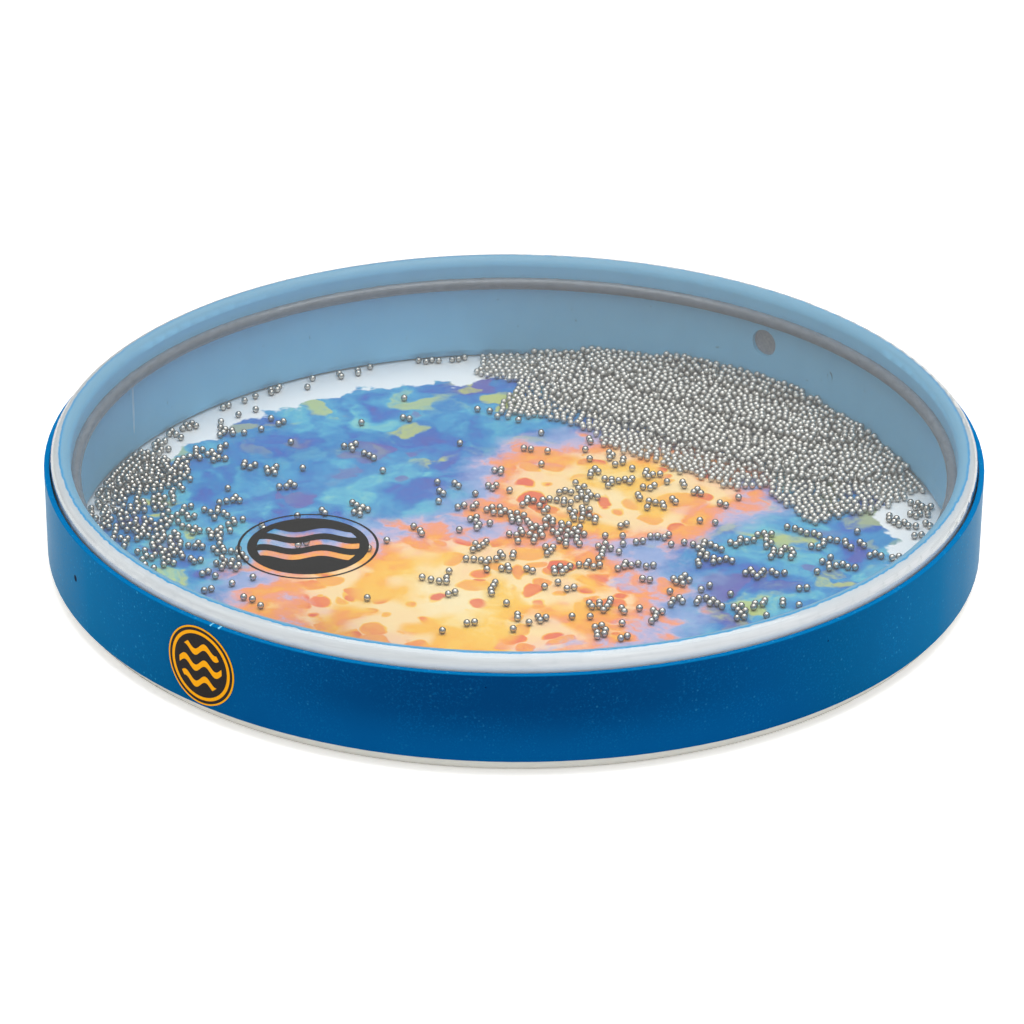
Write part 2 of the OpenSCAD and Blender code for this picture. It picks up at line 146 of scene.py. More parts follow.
def paint(red, green, blue, alpha=1.0):
    """A colour as an eye or a screen has it, 0 to 255, turned into the linear one of a shader."""
    def linear(value):
        share = value / 255
        return share / 12.92 if share <= 0.04045 else ((share + 0.055) / 1.055) ** 2.4
    return (linear(red), linear(green), linear(blue), alpha)


class Graph:
    """A material's node tree, with a short call for each kind of node."""

    def __init__(self, name):
        self.material = bpy.data.materials.new(name)
        self.material.use_nodes = True
        self.nodes = self.material.node_tree.nodes
        self.links = self.material.node_tree.links
        self.shader = self.nodes["Principled BSDF"]
        self.output = self.nodes["Material Output"]
        self.place = self.nodes.new("ShaderNodeTexCoord").outputs["Object"]

    def join(self, source, socket):
        """Feeds a socket from another one, or sets it to a plain value."""
        if isinstance(source, bpy.types.NodeSocket):
            self.links.new(source, socket)
        else:
            socket.default_value = source

    def set(self, **values):
        """Sets inputs of the Principled shader, named with _ for a space."""
        for name, value in values.items():
            self.join(value, self.shader.inputs[name.replace("_", " ")])

    def math(self, operation, *sources, clamp=False):
        node = self.nodes.new("ShaderNodeMath")
        node.operation = operation
        node.use_clamp = clamp
        for source, socket in zip(sources, node.inputs):
            self.join(source, socket)
        return node.outputs[0]

    def plus(self, a, b):
        return self.math("ADD", a, b)

    def less(self, a, b):
        return self.math("SUBTRACT", a, b)

    def times(self, a, b):
        return self.math("MULTIPLY", a, b)

    def over(self, a, b):
        return self.math("DIVIDE", a, b)

    def length(self, a, b):
        """The length of the hypotenuse over two sides."""
        return self.math("SQRT", self.plus(self.times(a, a), self.times(b, b)))

    def swing(self, share, width):
        """A share from 0 to 1 turned into a value about zero, of a given width."""
        return self.times(self.less(share, 0.5), width)

    def split(self, vector):
        node = self.nodes.new("ShaderNodeSeparateXYZ")
        self.join(vector, node.inputs[0])
        return node.outputs[0], node.outputs[1], node.outputs[2]

    def vector(self, x, y, z):
        node = self.nodes.new("ShaderNodeCombineXYZ")
        for source, socket in zip((x, y, z), node.inputs):
            self.join(source, socket)
        return node.outputs[0]

    def scaled(self, vector, factor):
        node = self.nodes.new("ShaderNodeVectorMath")
        node.operation = "SCALE"
        self.join(vector, node.inputs[0])
        node.inputs["Scale"].default_value = factor
        return node.outputs[0]

    def added(self, a, b):
        node = self.nodes.new("ShaderNodeVectorMath")
        node.operation = "ADD"
        self.join(a, node.inputs[0])
        self.join(b, node.inputs[1])
        return node.outputs[0]

    def noise(self, scale, detail=3.0, roughness=0.5, vector=None, colour=False):
        node = self.nodes.new("ShaderNodeTexNoise")
        self.join(self.place if vector is None else vector, node.inputs["Vector"])
        node.inputs["Scale"].default_value = scale
        node.inputs["Detail"].default_value = detail
        node.inputs["Roughness"].default_value = roughness
        return node.outputs["Color" if colour else "Fac"]

    def stirred(self, base, by, scale, reach):
        """A vector that a noise moves about, by up to half of a reach each way."""
        push = self.added(self.noise(scale, detail=2, vector=by, colour=True), (-0.5, -0.5, -0.5))
        return self.added(base, self.scaled(push, reach))

    def cells(self, scale, vector=None):
        """Voronoi cells: the distance from a cell's point, and the cell's own random colour."""
        node = self.nodes.new("ShaderNodeTexVoronoi")
        self.join(self.place if vector is None else vector, node.inputs["Vector"])
        node.inputs["Scale"].default_value = scale
        return node.outputs["Distance"], node.outputs["Color"]

    def wash(self, scale, vector):
        """Voronoi cells that run into each other like wet paint, as three random shares."""
        node = self.nodes.new("ShaderNodeTexVoronoi")
        node.feature = "SMOOTH_F1"
        self.join(vector, node.inputs["Vector"])
        node.inputs["Scale"].default_value = scale
        node.inputs["Smoothness"].default_value = 0.5
        return self.split(node.outputs["Color"])

    def facing(self):
        """0 where the surface is seen head on, and 1 where it is seen edge on. It drives painted sheen,
        painted bounce light and painted rim shade in base colours.
        """
        node = self.nodes.new("ShaderNodeLayerWeight")
        node.inputs["Blend"].default_value = 0.5
        return node.outputs["Facing"]

    def far_from(self, plan, x, y, reach_x, reach_y):
        """The distance from a point of a plan, which is 1 at the reach along each axis."""
        plan_x, plan_y, _ = self.split(plan)
        return self.length(self.over(self.less(plan_x, x), reach_x), self.over(self.less(plan_y, y), reach_y))

    def ramp(self, factor, stops):
        """A colour ramp of (place, colour) stops."""
        node = self.nodes.new("ShaderNodeValToRGB")
        elements = node.color_ramp.elements
        while len(elements) < len(stops):
            elements.new(0.5)
        for element, (where, colour) in zip(elements, stops):
            element.position = where
            element.color = colour
        self.join(factor, node.inputs[0])
        return node.outputs["Color"]

    def between(self, tone, low, high):
        """A colour between two, for a noise, whose values lie mostly from 0.3 to 0.7."""
        return self.ramp(tone, [(0.3, low), (0.7, high)])

    def step(self, value, low, high):
        """0 before low and 1 beyond high, smooth between them. High may be the smaller one."""
        node = self.nodes.new("ShaderNodeMapRange")
        node.interpolation_type = "SMOOTHSTEP"
        self.join(value, node.inputs["Value"])
        node.inputs["From Min"].default_value = min(low, high)
        node.inputs["From Max"].default_value = max(low, high)
        node.inputs["To Min"].default_value = 0 if low < high else 1
        node.inputs["To Max"].default_value = 1 if low < high else 0
        return node.outputs["Result"]

    def mix(self, factor, a, b):
        """The colour a, or b where the factor is 1."""
        node = self.nodes.new("ShaderNodeMix")
        node.data_type = "RGBA"
        self.join(factor, node.inputs["Factor"])
        self.join(a, node.inputs[6])
        self.join(b, node.inputs[7])
        return node.outputs[2]

    def bump(self, height, depth, strength=1.0):
        """Relief of a height from 0 to 1, which is depth metres deep."""
        node = self.nodes.new("ShaderNodeBump")
        node.inputs["Strength"].default_value = strength
        node.inputs["Distance"].default_value = depth
        self.join(height, node.inputs["Height"])
        self.links.new(node.outputs[0], self.shader.inputs["Normal"])

    def height(self):
        return self.split(self.place)[2]

    def radius(self):
        x, y, _ = self.split(self.place)
        return self.length(x, y)

    def around(self, along, across):
        """A vector for texture that is drawn out round the drum, with no seam: turns change it at the
        rate along, and the height and the radius at the rate across."""
        x, y, z = self.split(self.place)
        r = self.radius()
        return self.vector(
            self.times(self.over(x, r), along),
            self.times(self.over(y, r), along),
            self.times(self.plus(z, r), across),
        )

    def bearing(self, angle):
        """How far a point lies to the side of a direction in degrees, and along it, in plan."""
        x, y, _ = self.split(self.place)
        turn = math.radians(angle)
        side = self.less(self.times(y, math.cos(turn)), self.times(x, math.sin(turn)))
        front = self.plus(self.times(x, math.cos(turn)), self.times(y, math.sin(turn)))
        return side, front

    def spot(self, angle, height, half_width, half_height):
        """1 inside a small oval on a wall of the drum, at an angle in degrees and a height in metres."""
        side, front = self.bearing(angle)
        across = self.over(side, half_width)
        up = self.over(self.less(self.height(), height), half_height)
        inside = self.step(self.length(across, up), 1.15, 0.85)
        return self.times(inside, self.math("GREATER_THAN", front, 0.0))


def painted_hoop_sheen(g, turned):
    """Painted sheen: the blue of satin paint as a base colour, deep where the surface is seen head on and
    paler towards the edge, standing in for what the paint reflects at low angles.
    """
    return g.ramp(turned, [
        (0.14, paint(0, 61, 113)),
        (0.27, paint(0, 77, 133)),
        (0.39, paint(0, 87, 138)),
        (0.51, paint(2, 97, 150)),
        (0.65, paint(0, 108, 160)),
        (0.78, paint(56, 123, 166)),
        (0.88, paint(90, 140, 177)),
        (1.00, paint(136, 170, 196)),
    ])


def hoop_flecks(g, broad, sheen_slant):
    """The share of small pale flecks, which come in patches; their share is raised at a slant, as painted
    sheen.
    """
    distance, tint = g.cells(560)
    pick, size, strength = g.split(tint)
    reach = g.less(distance, g.times(size, 0.30))
    fleck = g.times(g.math("GREATER_THAN", pick, 0.5), g.step(reach, 0.10, -0.10))
    patchy = g.times(g.step(broad, 0.36, 0.60), g.plus(0.12, g.times(strength, 0.38)))
    patchy = g.times(patchy, g.plus(0.45, g.times(sheen_slant, 1.5)))
    return g.times(fleck, patchy)


def hoop_paint():
    """Satin blue paint with fine dust and flecks, a nick, chips and specks. The inner side is bare. The blue
    carries painted sheen, painted bounce light low down and a painted highlight on the top edge; the nick is
    painted dark as shade.
    """
    g = Graph("hoop_paint")
    z = g.height()
    turned = g.facing()
    # Painted sheen: how far the surface is seen at a slant, which raises the share of dust and flecks.
    sheen_slant = g.step(turned, 0.34, 0.56)
    # Painted bounce light: a lighter blue low on the hoop where it is seen head on. The blue itself is the
    # painted sheen ramp.
    low = g.times(g.step(z, 32 * MM, 8 * MM), g.step(turned, 0.45, 0.2))
    blue = g.mix(low, painted_hoop_sheen(g, turned), paint(0, 83, 143))
    # Painted highlight: a lighter blue along the top edge.
    blue = g.mix(g.step(z, HOOP_TOP - 0.5 * MM, HOOP_TOP - 0.1 * MM), blue, paint(0, 106, 164))
    broad = g.noise(40, detail=4, roughness=0.6)
    grain = g.noise(1150, detail=2, roughness=0.6)
    dust = g.times(g.step(grain, 0.50, 0.72), g.step(broad, 0.30, 0.60))
    # The dust is real; its share is raised at a slant, as painted sheen.
    dust_and_sheen_share = g.plus(0.22, g.times(sheen_slant, 0.36))
    blue = g.mix(g.times(dust, dust_and_sheen_share), blue, paint(12, 122, 186))
    colour = g.mix(hoop_flecks(g, broad, sheen_slant), blue, paint(56, 158, 206))
    # The nick: a dent in the bump, and its colour is painted dark as shade in the dent.
    nick = g.spot(*HOOP_NICK)
    colour = g.mix(nick, colour, paint(2, 22, 44))
    for chip in HOOP_CHIPS:
        colour = g.mix(g.spot(*chip), colour, paint(130, 205, 236))
    for speck in HOOP_SPECKS:
        colour = g.mix(g.spot(*speck), colour, paint(0, 40, 80))
    inner = g.step(g.radius(), HOOP_IN_R + 0.8 * MM, HOOP_IN_R + 0.4 * MM)
    below_edge = g.step(z, HOOP_TOP - 0.8 * MM, HOOP_TOP - 1.2 * MM)
    colour = g.mix(g.times(inner, below_edge), colour, paint(214, 216, 216))
    g.bump(g.less(grain, g.times(nick, 3.0)), 0.05 * MM, 0.4)
    g.set(Base_Color=colour, Roughness=g.plus(0.38, g.times(grain, 0.2)), Specular_IOR_Level=0.01)
    return g.material


def coat_blue(g):
    """The light blue coat inside the drum, faintly streaked from top to bottom."""
    x, y, z = g.split(g.place)
    r = g.radius()
    drawn = g.vector(g.times(g.over(x, r), 12.0), g.times(g.over(y, r), 12.0), g.times(z, 40.0))
    return g.between(g.noise(1, detail=4, vector=drawn), paint(122, 193, 230), paint(127, 199, 235))


def ring_paint():
    """White outside and light blue inside, where the blue coat ends in a ragged edge near the crest. The
    white is painted lighter low down as bounce light and darker at the very top as shade, and the blue darker
    towards the crest as shade.
    """
    g = Graph("ring_paint")
    z = g.height()
    edge = g.plus(g.radius(), g.swing(g.noise(1, detail=4, vector=g.around(60, 300)), 1.6 * MM))
    streak = g.noise(1, detail=3, vector=g.around(9, 2200))
    white = g.between(streak, paint(205, 209, 213), paint(220, 223, 226))
    # Painted bounce light: the white is lighter more than 6 mm below the top of the drum.
    white = g.mix(g.step(z, DRUM_TOP - 2 * MM, DRUM_TOP - 6 * MM), white, paint(246, 248, 250))
    # Painted shade: the white is darker at the very top, which tones down the highlight on the crest.
    white = g.mix(g.step(z, DRUM_TOP - 1.6 * MM, DRUM_TOP - 0.4 * MM), white, paint(192, 199, 205))
    # Painted shade: the blue is darker towards the crest.
    blue = g.mix(g.step(z, DRUM_TOP - 4 * MM, DRUM_TOP - 0.4 * MM), coat_blue(g), paint(112, 168, 198))
    rim = g.times(g.step(edge, CREST_R - 0.55 * MM, CREST_R + 0.25 * MM), 0.95)
    blue = g.mix(rim, blue, paint(0, 146, 202))
    outside = g.step(edge, CREST_R + 0.55 * MM, CREST_R + 1.05 * MM)
    g.set(Base_Color=g.mix(outside, blue, white), Roughness=0.42, Specular_IOR_Level=0.3)
    return g.material


def liner_paint():
    """The same light blue, dull, with dark specks, a scratch and a smear of glue along the joint."""
    g = Graph("liner_paint")
    rough = g.noise(300, detail=3)
    smear = g.times(g.spot(*SEAM_SMEAR), g.times(rough, 0.9))
    blue = g.mix(smear, coat_blue(g), paint(214, 238, 248))
    speck = g.times(g.math("LESS_THAN", g.noise(420, detail=1), 0.235), 0.4)
    scratch = g.times(g.spot(*LINER_SCRATCH), g.step(rough, 0.46, 0.54))
    marks = g.math("MAXIMUM", speck, g.times(scratch, 0.8))
    g.set(Base_Color=g.mix(marks, blue, paint(48, 80, 100)), Roughness=0.5, Specular_IOR_Level=0.3)
    g.bump(g.noise(700, detail=2), 0.05 * MM, 0.4)
    return g.material


def glue_look():
    """Pale dried glue."""
    g = Graph("glue_look")
    pale = g.between(g.noise(600, detail=3), paint(160, 205, 226), paint(190, 222, 236))
    g.set(Base_Color=pale, Roughness=0.5)
    return g.material


def seal_bead_look():
    """Blue-grey sealer with a smooth skin."""
    g = Graph("seal_bead_look")
    tone = g.noise(1, detail=4, vector=g.around(40, 500))
    grey = g.between(tone, paint(94, 103, 112), paint(114, 123, 132))
    g.set(Base_Color=grey, Roughness=g.plus(0.12, g.times(tone, 0.14)))
    g.bump(g.noise(500, detail=3), 0.12 * MM, 0.5)
    return g.material


def fibre_look():
    """Pressed wood fibre: mottled grey, rough."""
    g = Graph("fibre_look")
    mottle = g.noise(900, detail=5, roughness=0.7)
    g.set(Base_Color=g.between(mottle, paint(124, 130, 137), paint(158, 163, 168)), Roughness=0.8)
    g.bump(mottle, 0.3 * MM, 0.7)
    return g.material


def tape_look():
    """White foam tape with fine pores."""
    g = Graph("tape_look")
    pores = g.noise(1600, detail=2)
    white = g.ramp(pores, [(0.3, paint(205, 205, 202)), (0.6, paint(232, 232, 229))])
    g.set(Base_Color=white, Roughness=0.75)
    g.bump(pores, 0.1 * MM, 0.5)
    return g.material


def clear_film():
    """Clear film: light passes straight on, and the share that it mirrors is small but at low angles."""
    g = Graph("clear_film")
    behind = g.nodes.new("ShaderNodeNewGeometry").outputs["Backfacing"]
    fresnel = g.nodes.new("ShaderNodeFresnel")
    index = g.plus(FILM_INDEX, g.times(behind, 1 / FILM_INDEX - FILM_INDEX))
    g.join(index, fresnel.inputs["IOR"])
    through = g.nodes.new("ShaderNodeBsdfTransparent")
    through.inputs["Color"].default_value = (0.985, 0.992, 0.992, 1)
    gloss = g.nodes.new("ShaderNodeBsdfGlossy")
    gloss.inputs["Roughness"].default_value = 0.06
    haze = g.times(g.noise(5, detail=2), HAZE_SHARE)
    mirrored = g.times(g.less(fresnel.outputs[0], HEAD_ON_SHARE), LOW_ANGLE_GAIN)
    share = g.math("ADD", mirrored, haze, clamp=True)
    blend = g.nodes.new("ShaderNodeMixShader")
    g.links.new(share, blend.inputs[0])
    g.links.new(through.outputs[0], blend.inputs[1])
    g.links.new(gloss.outputs[0], blend.inputs[2])
    g.links.new(blend.outputs[0], g.output.inputs["Surface"])
    g.nodes.remove(g.shader)
    return g.material


def print_limit(g):
    """Where the print ends, in shares of the bore's radius, for each direction: white film shows
    beyond it at the back left and at the right."""
    x, y, _ = g.split(g.place)
    turn = g.plus(g.over(g.math("ARCTAN2", y, x), math.tau), 0.5)
    stops = [
        (0.00, 0.95), (0.06, 0.97), (0.30, 0.97), (0.42, 0.93), (0.47, 0.88), (0.50, 0.86),
        (0.55, 0.87), (0.60, 0.93), (0.70, 0.90), (0.77, 0.86), (0.82, 0.87), (0.86, 0.89),
        (0.90, 0.91), (0.935, 0.92), (0.96, 0.93), (1.00, 0.95),
    ]
    return g.ramp(turn, [(where, (share, share, share, 1)) for where, share in stops])


def sea_wash(g, dabbed, depth, fine):
    """The sea of the print: washes of blue that turn to violet, turquoise and yellow-green in places."""
    wide = g.wash(9, dabbed)
    small = g.wash(17, dabbed)
    tone = g.plus(g.times(wide[0], 0.42), g.times(small[0], 0.26))
    tone = g.plus(tone, g.times(depth, 0.36))
    tone = g.plus(tone, g.swing(fine, 0.34))
    sea = g.ramp(tone, [
        (0.22, paint(78, 92, 176)),
        (0.34, paint(52, 106, 190)),
        (0.47, paint(44, 132, 196)),
        (0.60, paint(66, 156, 204)),
        (0.72, paint(92, 182, 208)),
        (0.86, paint(136, 204, 202)),
    ])
    violet = g.times(g.step(wide[1], 0.62, 0.85), g.step(small[1], 0.45, 0.7))
    sea = g.mix(g.times(violet, 0.55), sea, paint(120, 84, 160))
    mossy = g.plus(small[2], g.swing(fine, 0.8))
    green = g.times(g.step(wide[2], 0.52, 0.90), g.step(mossy, 0.36, 0.86))
    return g.mix(g.times(green, 0.85), sea, paint(200, 206, 104))


def pebble_bed(g, sun, warmth, dabbed, warped, fine):
    """Lays coral pebbles between pale channels over the colour of a pool of light."""
    far, tint = g.cells(15, vector=g.stirred(warped, dabbed, 9, 0.07))
    pick, other, _ = g.split(tint)
    beyond = g.less(far, g.plus(0.30, g.times(pick, 0.22)))
    patches = g.step(g.noise(4.5, detail=2, vector=warped), 0.40, 0.50)
    bedded = g.times(patches, g.step(warmth, 0.26, 0.40))
    channel = g.times(bedded, g.step(beyond, 0.0, 0.06))
    sun = g.mix(g.times(channel, 0.55), sun, paint(255, 240, 204))
    pebble = g.times(bedded, g.step(beyond, 0.0, -0.05))
    coral = g.ramp(g.plus(other, g.swing(fine, 0.5)), [
        (0.2, paint(232, 92, 74)),
        (0.55, paint(244, 124, 80)),
        (0.8, paint(250, 170, 84)),
    ])
    return g.mix(g.times(pebble, 0.85), sun, coral)


def sun_wash(g, warmth, dabbed, fine):
    """The colour of the pools of light: yellow and orange, which fade through pink to lilac."""
    tone = g.plus(warmth, g.swing(g.wash(13, dabbed)[0], 0.40))
    tone = g.plus(tone, g.swing(fine, 0.36))
    return g.ramp(tone, [
        (0.00, paint(150, 170, 216)),
        (0.12, paint(200, 180, 208)),
        (0.22, paint(246, 156, 124)),
        (0.34, paint(252, 160, 78)),
        (0.50, paint(255, 186, 66)),
        (0.76, paint(255, 202, 84)),
        (1.00, paint(255, 222, 146)),
    ])


def print_look():
    """The printed head: an abstract sea with two warm pools of light, on white film with a ragged
    edge to the print."""
    g = Graph("print_look")
    x, y, _ = g.split(g.place)
    plan = g.vector(g.over(x, BORE_R), g.over(y, BORE_R), 0.0)
    warped = g.stirred(plan, plan, 3.4, 0.2)
    dabbed = g.stirred(warped, plan, 16, 0.07)
    depth = g.noise(3.0, detail=3, vector=warped)
    fine = g.noise(46, detail=5, roughness=0.6, vector=dabbed)

    first, second = [g.far_from(warped, *pool) for pool in POOL_SHARES]
    far = g.math("SMOOTH_MIN", first, second, 0.35)
    feathered = g.swing(g.noise(11, detail=4, roughness=0.65, vector=plan), 0.5)
    warmth = g.less(1.0, g.plus(far, feathered))
    sun = pebble_bed(g, sun_wash(g, warmth, dabbed, fine), warmth, dabbed, warped, fine)
    art = g.mix(g.step(warmth, -0.12, 0.16), sea_wash(g, dabbed, depth, fine), sun)

    torn = g.swing(g.noise(12, detail=3, roughness=0.55, vector=plan), 0.18)
    share = g.plus(g.over(g.radius(), BORE_R), torn)
    unprinted = g.step(g.less(share, print_limit(g)), -0.006, 0.006)
    collar = g.math("GREATER_THAN", g.radius(), BORE_R + 2 * MM)
    film = g.mix(collar, paint(240, 243, 245), paint(230, 228, 219))
    colour = g.mix(g.math("MAXIMUM", unprinted, collar), art, film)
    g.set(Base_Color=colour, Roughness=0.1, Specular_IOR_Level=0.25)
    g.bump(g.noise(40, detail=1), 0.05 * MM, 0.15)
    return g.material


def steel_look(name, low, high, rim_shade_share, roughness):
    """Steel shot, each ball a little unlike its neighbours, between two colours, with rims painted dark at
    low angles as a painted reflection of dark surroundings.
    """
    g = Graph(name)
    vary = g.noise(260, detail=1)
    # Painted reflection: the base colour turns dark grey towards the rims.
    rim = g.times(g.step(g.facing(), 0.22, 0.66), rim_shade_share)
    colour = g.mix(rim, g.between(vary, low, high), paint(58, 58, 57))
    g.set(Base_Color=colour, Metallic=1.0, Roughness=g.plus(roughness, g.times(vary, 0.12)))
    g.set(Specular_Tint=(0.2, 0.2, 0.2, 1))
    return g.material


def label_look():
    """A black sticker with two orange rings and a plain pattern of waves, in shares of its radius."""
    g = Graph("label_look")
    half = LABEL_D / 2
    side, _ = g.bearing(LABEL_ANGLE)
    up = g.less(g.height(), LABEL_Z)
    far = g.over(g.length(side, up), half)
    outer = g.step(far, 0.955, 0.965)
    inner = g.times(g.step(far, 0.80, 0.81), g.step(far, 0.89, 0.88))
    swell = g.times(g.math("SINE", g.times(side, math.tau / (0.62 * half))), 0.10 * half)
    lane = g.over(g.less(up, swell), half)
    phase = g.math("COSINE", g.times(lane, math.tau / 0.42))
    waves = g.times(g.step(phase, 0.28, 0.42), g.step(far, 0.66, 0.64))
    mark = g.math("MAXIMUM", g.math("MAXIMUM", outer, inner), waves)
    black = g.between(g.noise(2600, detail=2), paint(34, 30, 30), paint(44, 40, 39))
    g.set(Base_Color=g.mix(mark, black, paint(250, 170, 0)), Roughness=0.5, Specular_IOR_Level=0.08)
    return g.material


def ink_look():
    """Black ink, very slightly uneven."""
    g = Graph("ink_look")
    black = g.between(g.noise(900, detail=3), paint(14, 14, 13), paint(21, 20, 19))
    g.set(Base_Color=black, Roughness=0.5, Specular_IOR_Level=0.08)
    return g.material


def floor_look():
    """Matt white paper under the drum, which to the camera is as white as paper in a bright studio."""
    g = Graph("floor_look")
    paper = g.between(g.noise(30, detail=3), (0.93, 0.92, 0.90, 1), (0.95, 0.94, 0.92, 1))
    g.set(Base_Color=paper, Roughness=0.9, Specular_IOR_Level=0.1)
    seen = g.nodes.new("ShaderNodeLightPath").outputs["Is Camera Ray"]
    g.set(Emission_Color=(1.0, 0.99, 0.96, 1), Emission_Strength=g.times(seen, FLOOR_LIFT))
    return g.material


def add_object(name, mesh, material):
    mesh.materials.append(material)
    piece = bpy.data.objects.new(name, mesh)
    bpy.context.collection.objects.link(piece)
    return piece


def mesh_object(name, vertices, faces, material, smooth=True):
    """A new object of some vertices and faces, given as arrays or lists."""
    mesh = bpy.data.meshes.new(name)
    mesh.from_pydata([tuple(v) for v in vertices], [], [tuple(int(i) for i in f) for f in faces])
    mesh.polygons.foreach_set("use_smooth", [smooth] * len(mesh.polygons))
    return add_object(name, mesh, material)


def ball_mesh(subdivisions):
    """The vertices of a ball of diameter 1, and its triangles."""
    made = bmesh.new()
    bmesh.ops.create_icosphere(made, subdivisions=subdivisions, radius=0.5)
    vertices = np.array([v.co for v in made.verts])
    faces = np.array([[v.index for v in f.verts] for f in made.faces])
    made.free()
    return vertices, faces


def shot_object(name, centres, material):
    """One object of all the shot with the given centres."""
    ball, triangles = ball_mesh(2)
    vertices = (centres[:, None, :] + ball[None] * SHOT_D).reshape(-1, 3)
    faces = (np.arange(len(centres))[:, None, None] * len(ball) + triangles[None]).reshape(-1, 3)
    mesh = bpy.data.meshes.new(name)
    mesh.vertices.add(len(vertices))
    mesh.vertices.foreach_set("co", vertices.astype(np.float32).ravel())
    mesh.loops.add(faces.size)
    mesh.loops.foreach_set("vertex_index", faces.astype(np.int32).ravel())
    mesh.polygons.add(len(faces))
    mesh.polygons.foreach_set("loop_start", np.arange(0, faces.size, 3, dtype=np.int32))
    mesh.polygons.foreach_set("use_smooth", np.ones(len(faces), bool))
    mesh.update(calc_edges=True)
    mesh.validate()
    return add_object(name, mesh, material)


def loose_parts(mesh):
    """The places of a mesh's vertices, and for each one the lowest index in its loose part."""
    places = np.empty(len(mesh.vertices) * 3)
    mesh.vertices.foreach_get("co", places)
    edges = np.empty(len(mesh.edges) * 2, dtype=np.int64)
    mesh.edges.foreach_get("vertices", edges)
    edges = edges.reshape(-1, 2)
    part = np.arange(len(mesh.vertices))
    while True:
        lowest = np.minimum(part[edges[:, 0]], part[edges[:, 1]])
        before = part.copy()
        np.minimum.at(part, edges[:, 0], lowest)
        np.minimum.at(part, edges[:, 1], lowest)
        if (before == part).all():
            return places.reshape(-1, 3), part


def ball_centres(nodes):
    """The centres of the balls of some CAD nodes, from the loose parts of their meshes."""
    centres = []
    for name in nodes:
        places, part = loose_parts(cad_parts[name].data)
        for label in np.unique(part):
            ball = places[part == label]
            centres.append((ball.min(0) + ball.max(0)) / 2)
    return np.array(centres)


def gaps_between(points, others):
    """The distance of each point of a plan from each of some others."""
    apart = points[:, None] - others[None]
    return np.hypot(apart[..., 0], apart[..., 1])


def relaxed(plan, fixed, spacing, rounds):
    """Pushes points of a plan apart to about a spacing from each other and from fixed ones."""
    for _ in range(rounds):
        for others, share in ((plan, 0.5), (fixed, 1.0)):
            apart = plan[:, None] - others[None]
            gap = np.hypot(apart[..., 0], apart[..., 1])
            if others is plan:
                np.fill_diagonal(gap, 1.0)
            push = np.clip(spacing - gap, 0, None) / np.maximum(gap, 1e-6) * share
            plan = plan + (apart * push[..., None]).sum(1)
        far = np.hypot(plan[:, 0], plan[:, 1])
        plan = plan * np.minimum(1, SHOT_REACH / far)[:, None]
    return plan


def thinned(plan, fixed, least):
    """Drops points that are nearer than a least distance to a kept one or to a fixed one."""
    taken = fixed
    kept = []
    for point in plan:
        if len(taken) and (gaps_between(point[None], taken) < least).any():
            continue
        kept.append(point)
        taken = np.vstack([taken, point])
    return np.array(kept)


def rest_heights(plan, below):
    """The heights at which balls come to rest on the balls below them, or on the head."""
    lowest = np.full(len(plan), SHOT_FLOOR + SHOT_D / 2)
    if len(below) == 0:
        return lowest
    apart = plan[:, None] - below[None, :, :2]
    gap2 = (apart ** 2).sum(-1)
    above = np.sqrt(np.clip(SHOT_D ** 2 - gap2, 0, None))
    top = np.where(gap2 < SHOT_D ** 2, below[None, :, 2] + above, 0)
    return np.maximum(lowest, top.max(1))


def headings(dice, count):
    """Random directions in the plan, as vectors of length 1."""
    turn = dice.uniform(0, math.tau, count)
    return np.stack([np.cos(turn), np.sin(turn)], 1)


def rolled(plan, below, dice):
    """Lets balls roll by small random steps into the hollows of the layer below."""
    for _ in range(ROLL_TRIES):
        moved = plan + ROLL_STEP * headings(dice, len(plan))
        gap = gaps_between(moved, plan)
        np.fill_diagonal(gap, 1.0)
        free = (gap.min(1) > SHOT_D) & (np.hypot(moved[:, 0], moved[:, 1]) < SHOT_REACH)
        lower = rest_heights(moved, below) < rest_heights(plan, below)
        pick = free & lower & (dice.uniform(0, 1, len(plan)) < 0.5)
        plan[pick] = moved[pick]
    return plan


def pile_centres():
    """Balls of the dressed pile. Each layer has the outline of the solid layer and is denser: balls
    are added near its own, shaken, pushed apart, and rolled down onto the layer below."""
    dice = np.random.default_rng(5)
    loose = ball_centres(LOOSE_NODES)[:, :2]
    below = np.empty((0, 3))
    for nodes, fill in zip(PILE_LAYERS, FILL_SHARES):
        plan = ball_centres(nodes)[:, :2]
        extra = int(len(plan) * (fill - 1))
        homes = plan[dice.choice(len(plan), extra)]
        heading = headings(dice, extra)
        away = SHOT_D * dice.uniform(0.3, 0.8, extra)
        plan = np.vstack([plan, homes + heading * away[:, None]])
        plan = plan + dice.uniform(-0.3, 0.3, plan.shape) * SHOT_D
        plan = relaxed(plan, loose, 1.04 * SHOT_D, 40)
        plan = rolled(thinned(plan, loose, LEAST_GAP), below, dice)
        below = np.vstack([below, np.column_stack([plan, rest_heights(plan, below)])])
    return below


